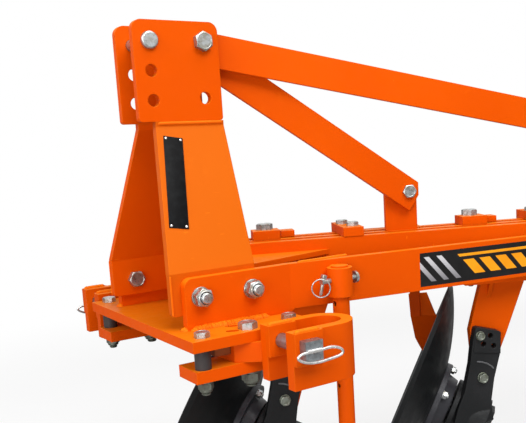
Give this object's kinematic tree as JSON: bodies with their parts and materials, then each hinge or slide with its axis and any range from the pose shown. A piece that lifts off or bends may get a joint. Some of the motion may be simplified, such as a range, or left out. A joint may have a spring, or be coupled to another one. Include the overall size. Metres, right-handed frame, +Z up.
{
  "type": "mounted disc plough",
  "caption": "Tractor-mounted disc plough with a diagonal beam, braced mast, tilted concave discs on free hubs, scrapers, parking stand and rear furrow wheel.",
  "frame": {"origin": "on the ground under the middle of the plough's length and width", "axes": "+X rearward against the line of travel, +Y towards the right-hand side, where the soil is thrown, +Z up"},
  "size_m": [1.9228, 1.0096, 1.2005],
  "materials": {
    "orange_paint": "gloss",
    "black_paint": "satin",
    "disc_steel": "satin",
    "zinc_steel": "zinc plated"
  },
  "bodies": {
    "frame": {"base_plate": "orange_paint", "beam_bar_left": "orange_paint", "beam_bar_middle": "orange_paint", "beam_bar_right": "orange_paint", "beam_clamps": "orange_paint", "beam_gusset": "orange_paint", "beam_plate_left": "orange_paint", "beam_plate_right": "orange_paint", "clevis_plate_left": "orange_paint", "clevis_plate_right": "orange_paint", "hitch_bar_left": "orange_paint", "hitch_bar_right": "orange_paint", "hitch_pin_left": "zinc_steel", "hitch_pin_right": "zinc_steel", "hitch_spacers": "orange_paint", "hitch_strap_left": "orange_paint", "hitch_strap_right": "orange_paint", "hub_bracket_1": "black_paint", "hub_bracket_2": "black_paint", "hub_bracket_3": "black_paint", "mast_side_left": "orange_paint", "mast_side_right": "orange_paint", "scraper_1": "orange_paint", "scraper_2": "orange_paint", "scraper_3": "orange_paint", "scraper_clamps": "orange_paint", "stand_pin": "zinc_steel", "stand_sleeve": "orange_paint", "standard_1": "orange_paint", "standard_2": "orange_paint", "standard_3": "orange_paint", "stay_lower": "orange_paint", "stay_posts": "orange_paint", "stay_upper": "orange_paint", "top_link_pin": "zinc_steel", "wheel_bracket": "orange_paint", "wheel_leg": "orange_paint"},
    "disc_unit_1": {"disc_1": "disc_steel", "hub_1": "black_paint"},
    "disc_unit_2": {"disc_2": "disc_steel", "hub_2": "black_paint"},
    "disc_unit_3": {"disc_3": "disc_steel", "hub_3": "black_paint"},
    "rear_wheel": {"furrow_wheel": "black_paint"},
    "stand": {"stand_tube": "orange_paint"}
  },
  "joints": [
    {"name": "disc_1_spin", "type": "hinge", "parent": "frame", "child": "disc_unit_1", "pos_m": [-0.71675, 0.22592, 0.27949], "axis": [0.6191, -0.6756, -0.4003], "continuous": true},
    {"name": "disc_2_spin", "type": "hinge", "parent": "frame", "child": "disc_unit_2", "pos_m": [-0.24986, 0.02194, 0.27949], "axis": [0.6191, -0.6756, -0.4003], "continuous": true},
    {"name": "disc_3_spin", "type": "hinge", "parent": "frame", "child": "disc_unit_3", "pos_m": [0.21702, -0.18204, 0.27949], "axis": [0.6191, -0.6756, -0.4003], "continuous": true},
    {"name": "furrow_wheel_spin", "type": "hinge", "parent": "frame", "child": "rear_wheel", "pos_m": [0.73145, -0.326, 0.21887], "axis": [0, 0.9397, -0.342], "continuous": true},
    {"name": "stand_slide", "type": "slide", "parent": "frame", "child": "stand", "axis": [0, 0, 1], "range_m": [0, 0.34]}
  ]
}
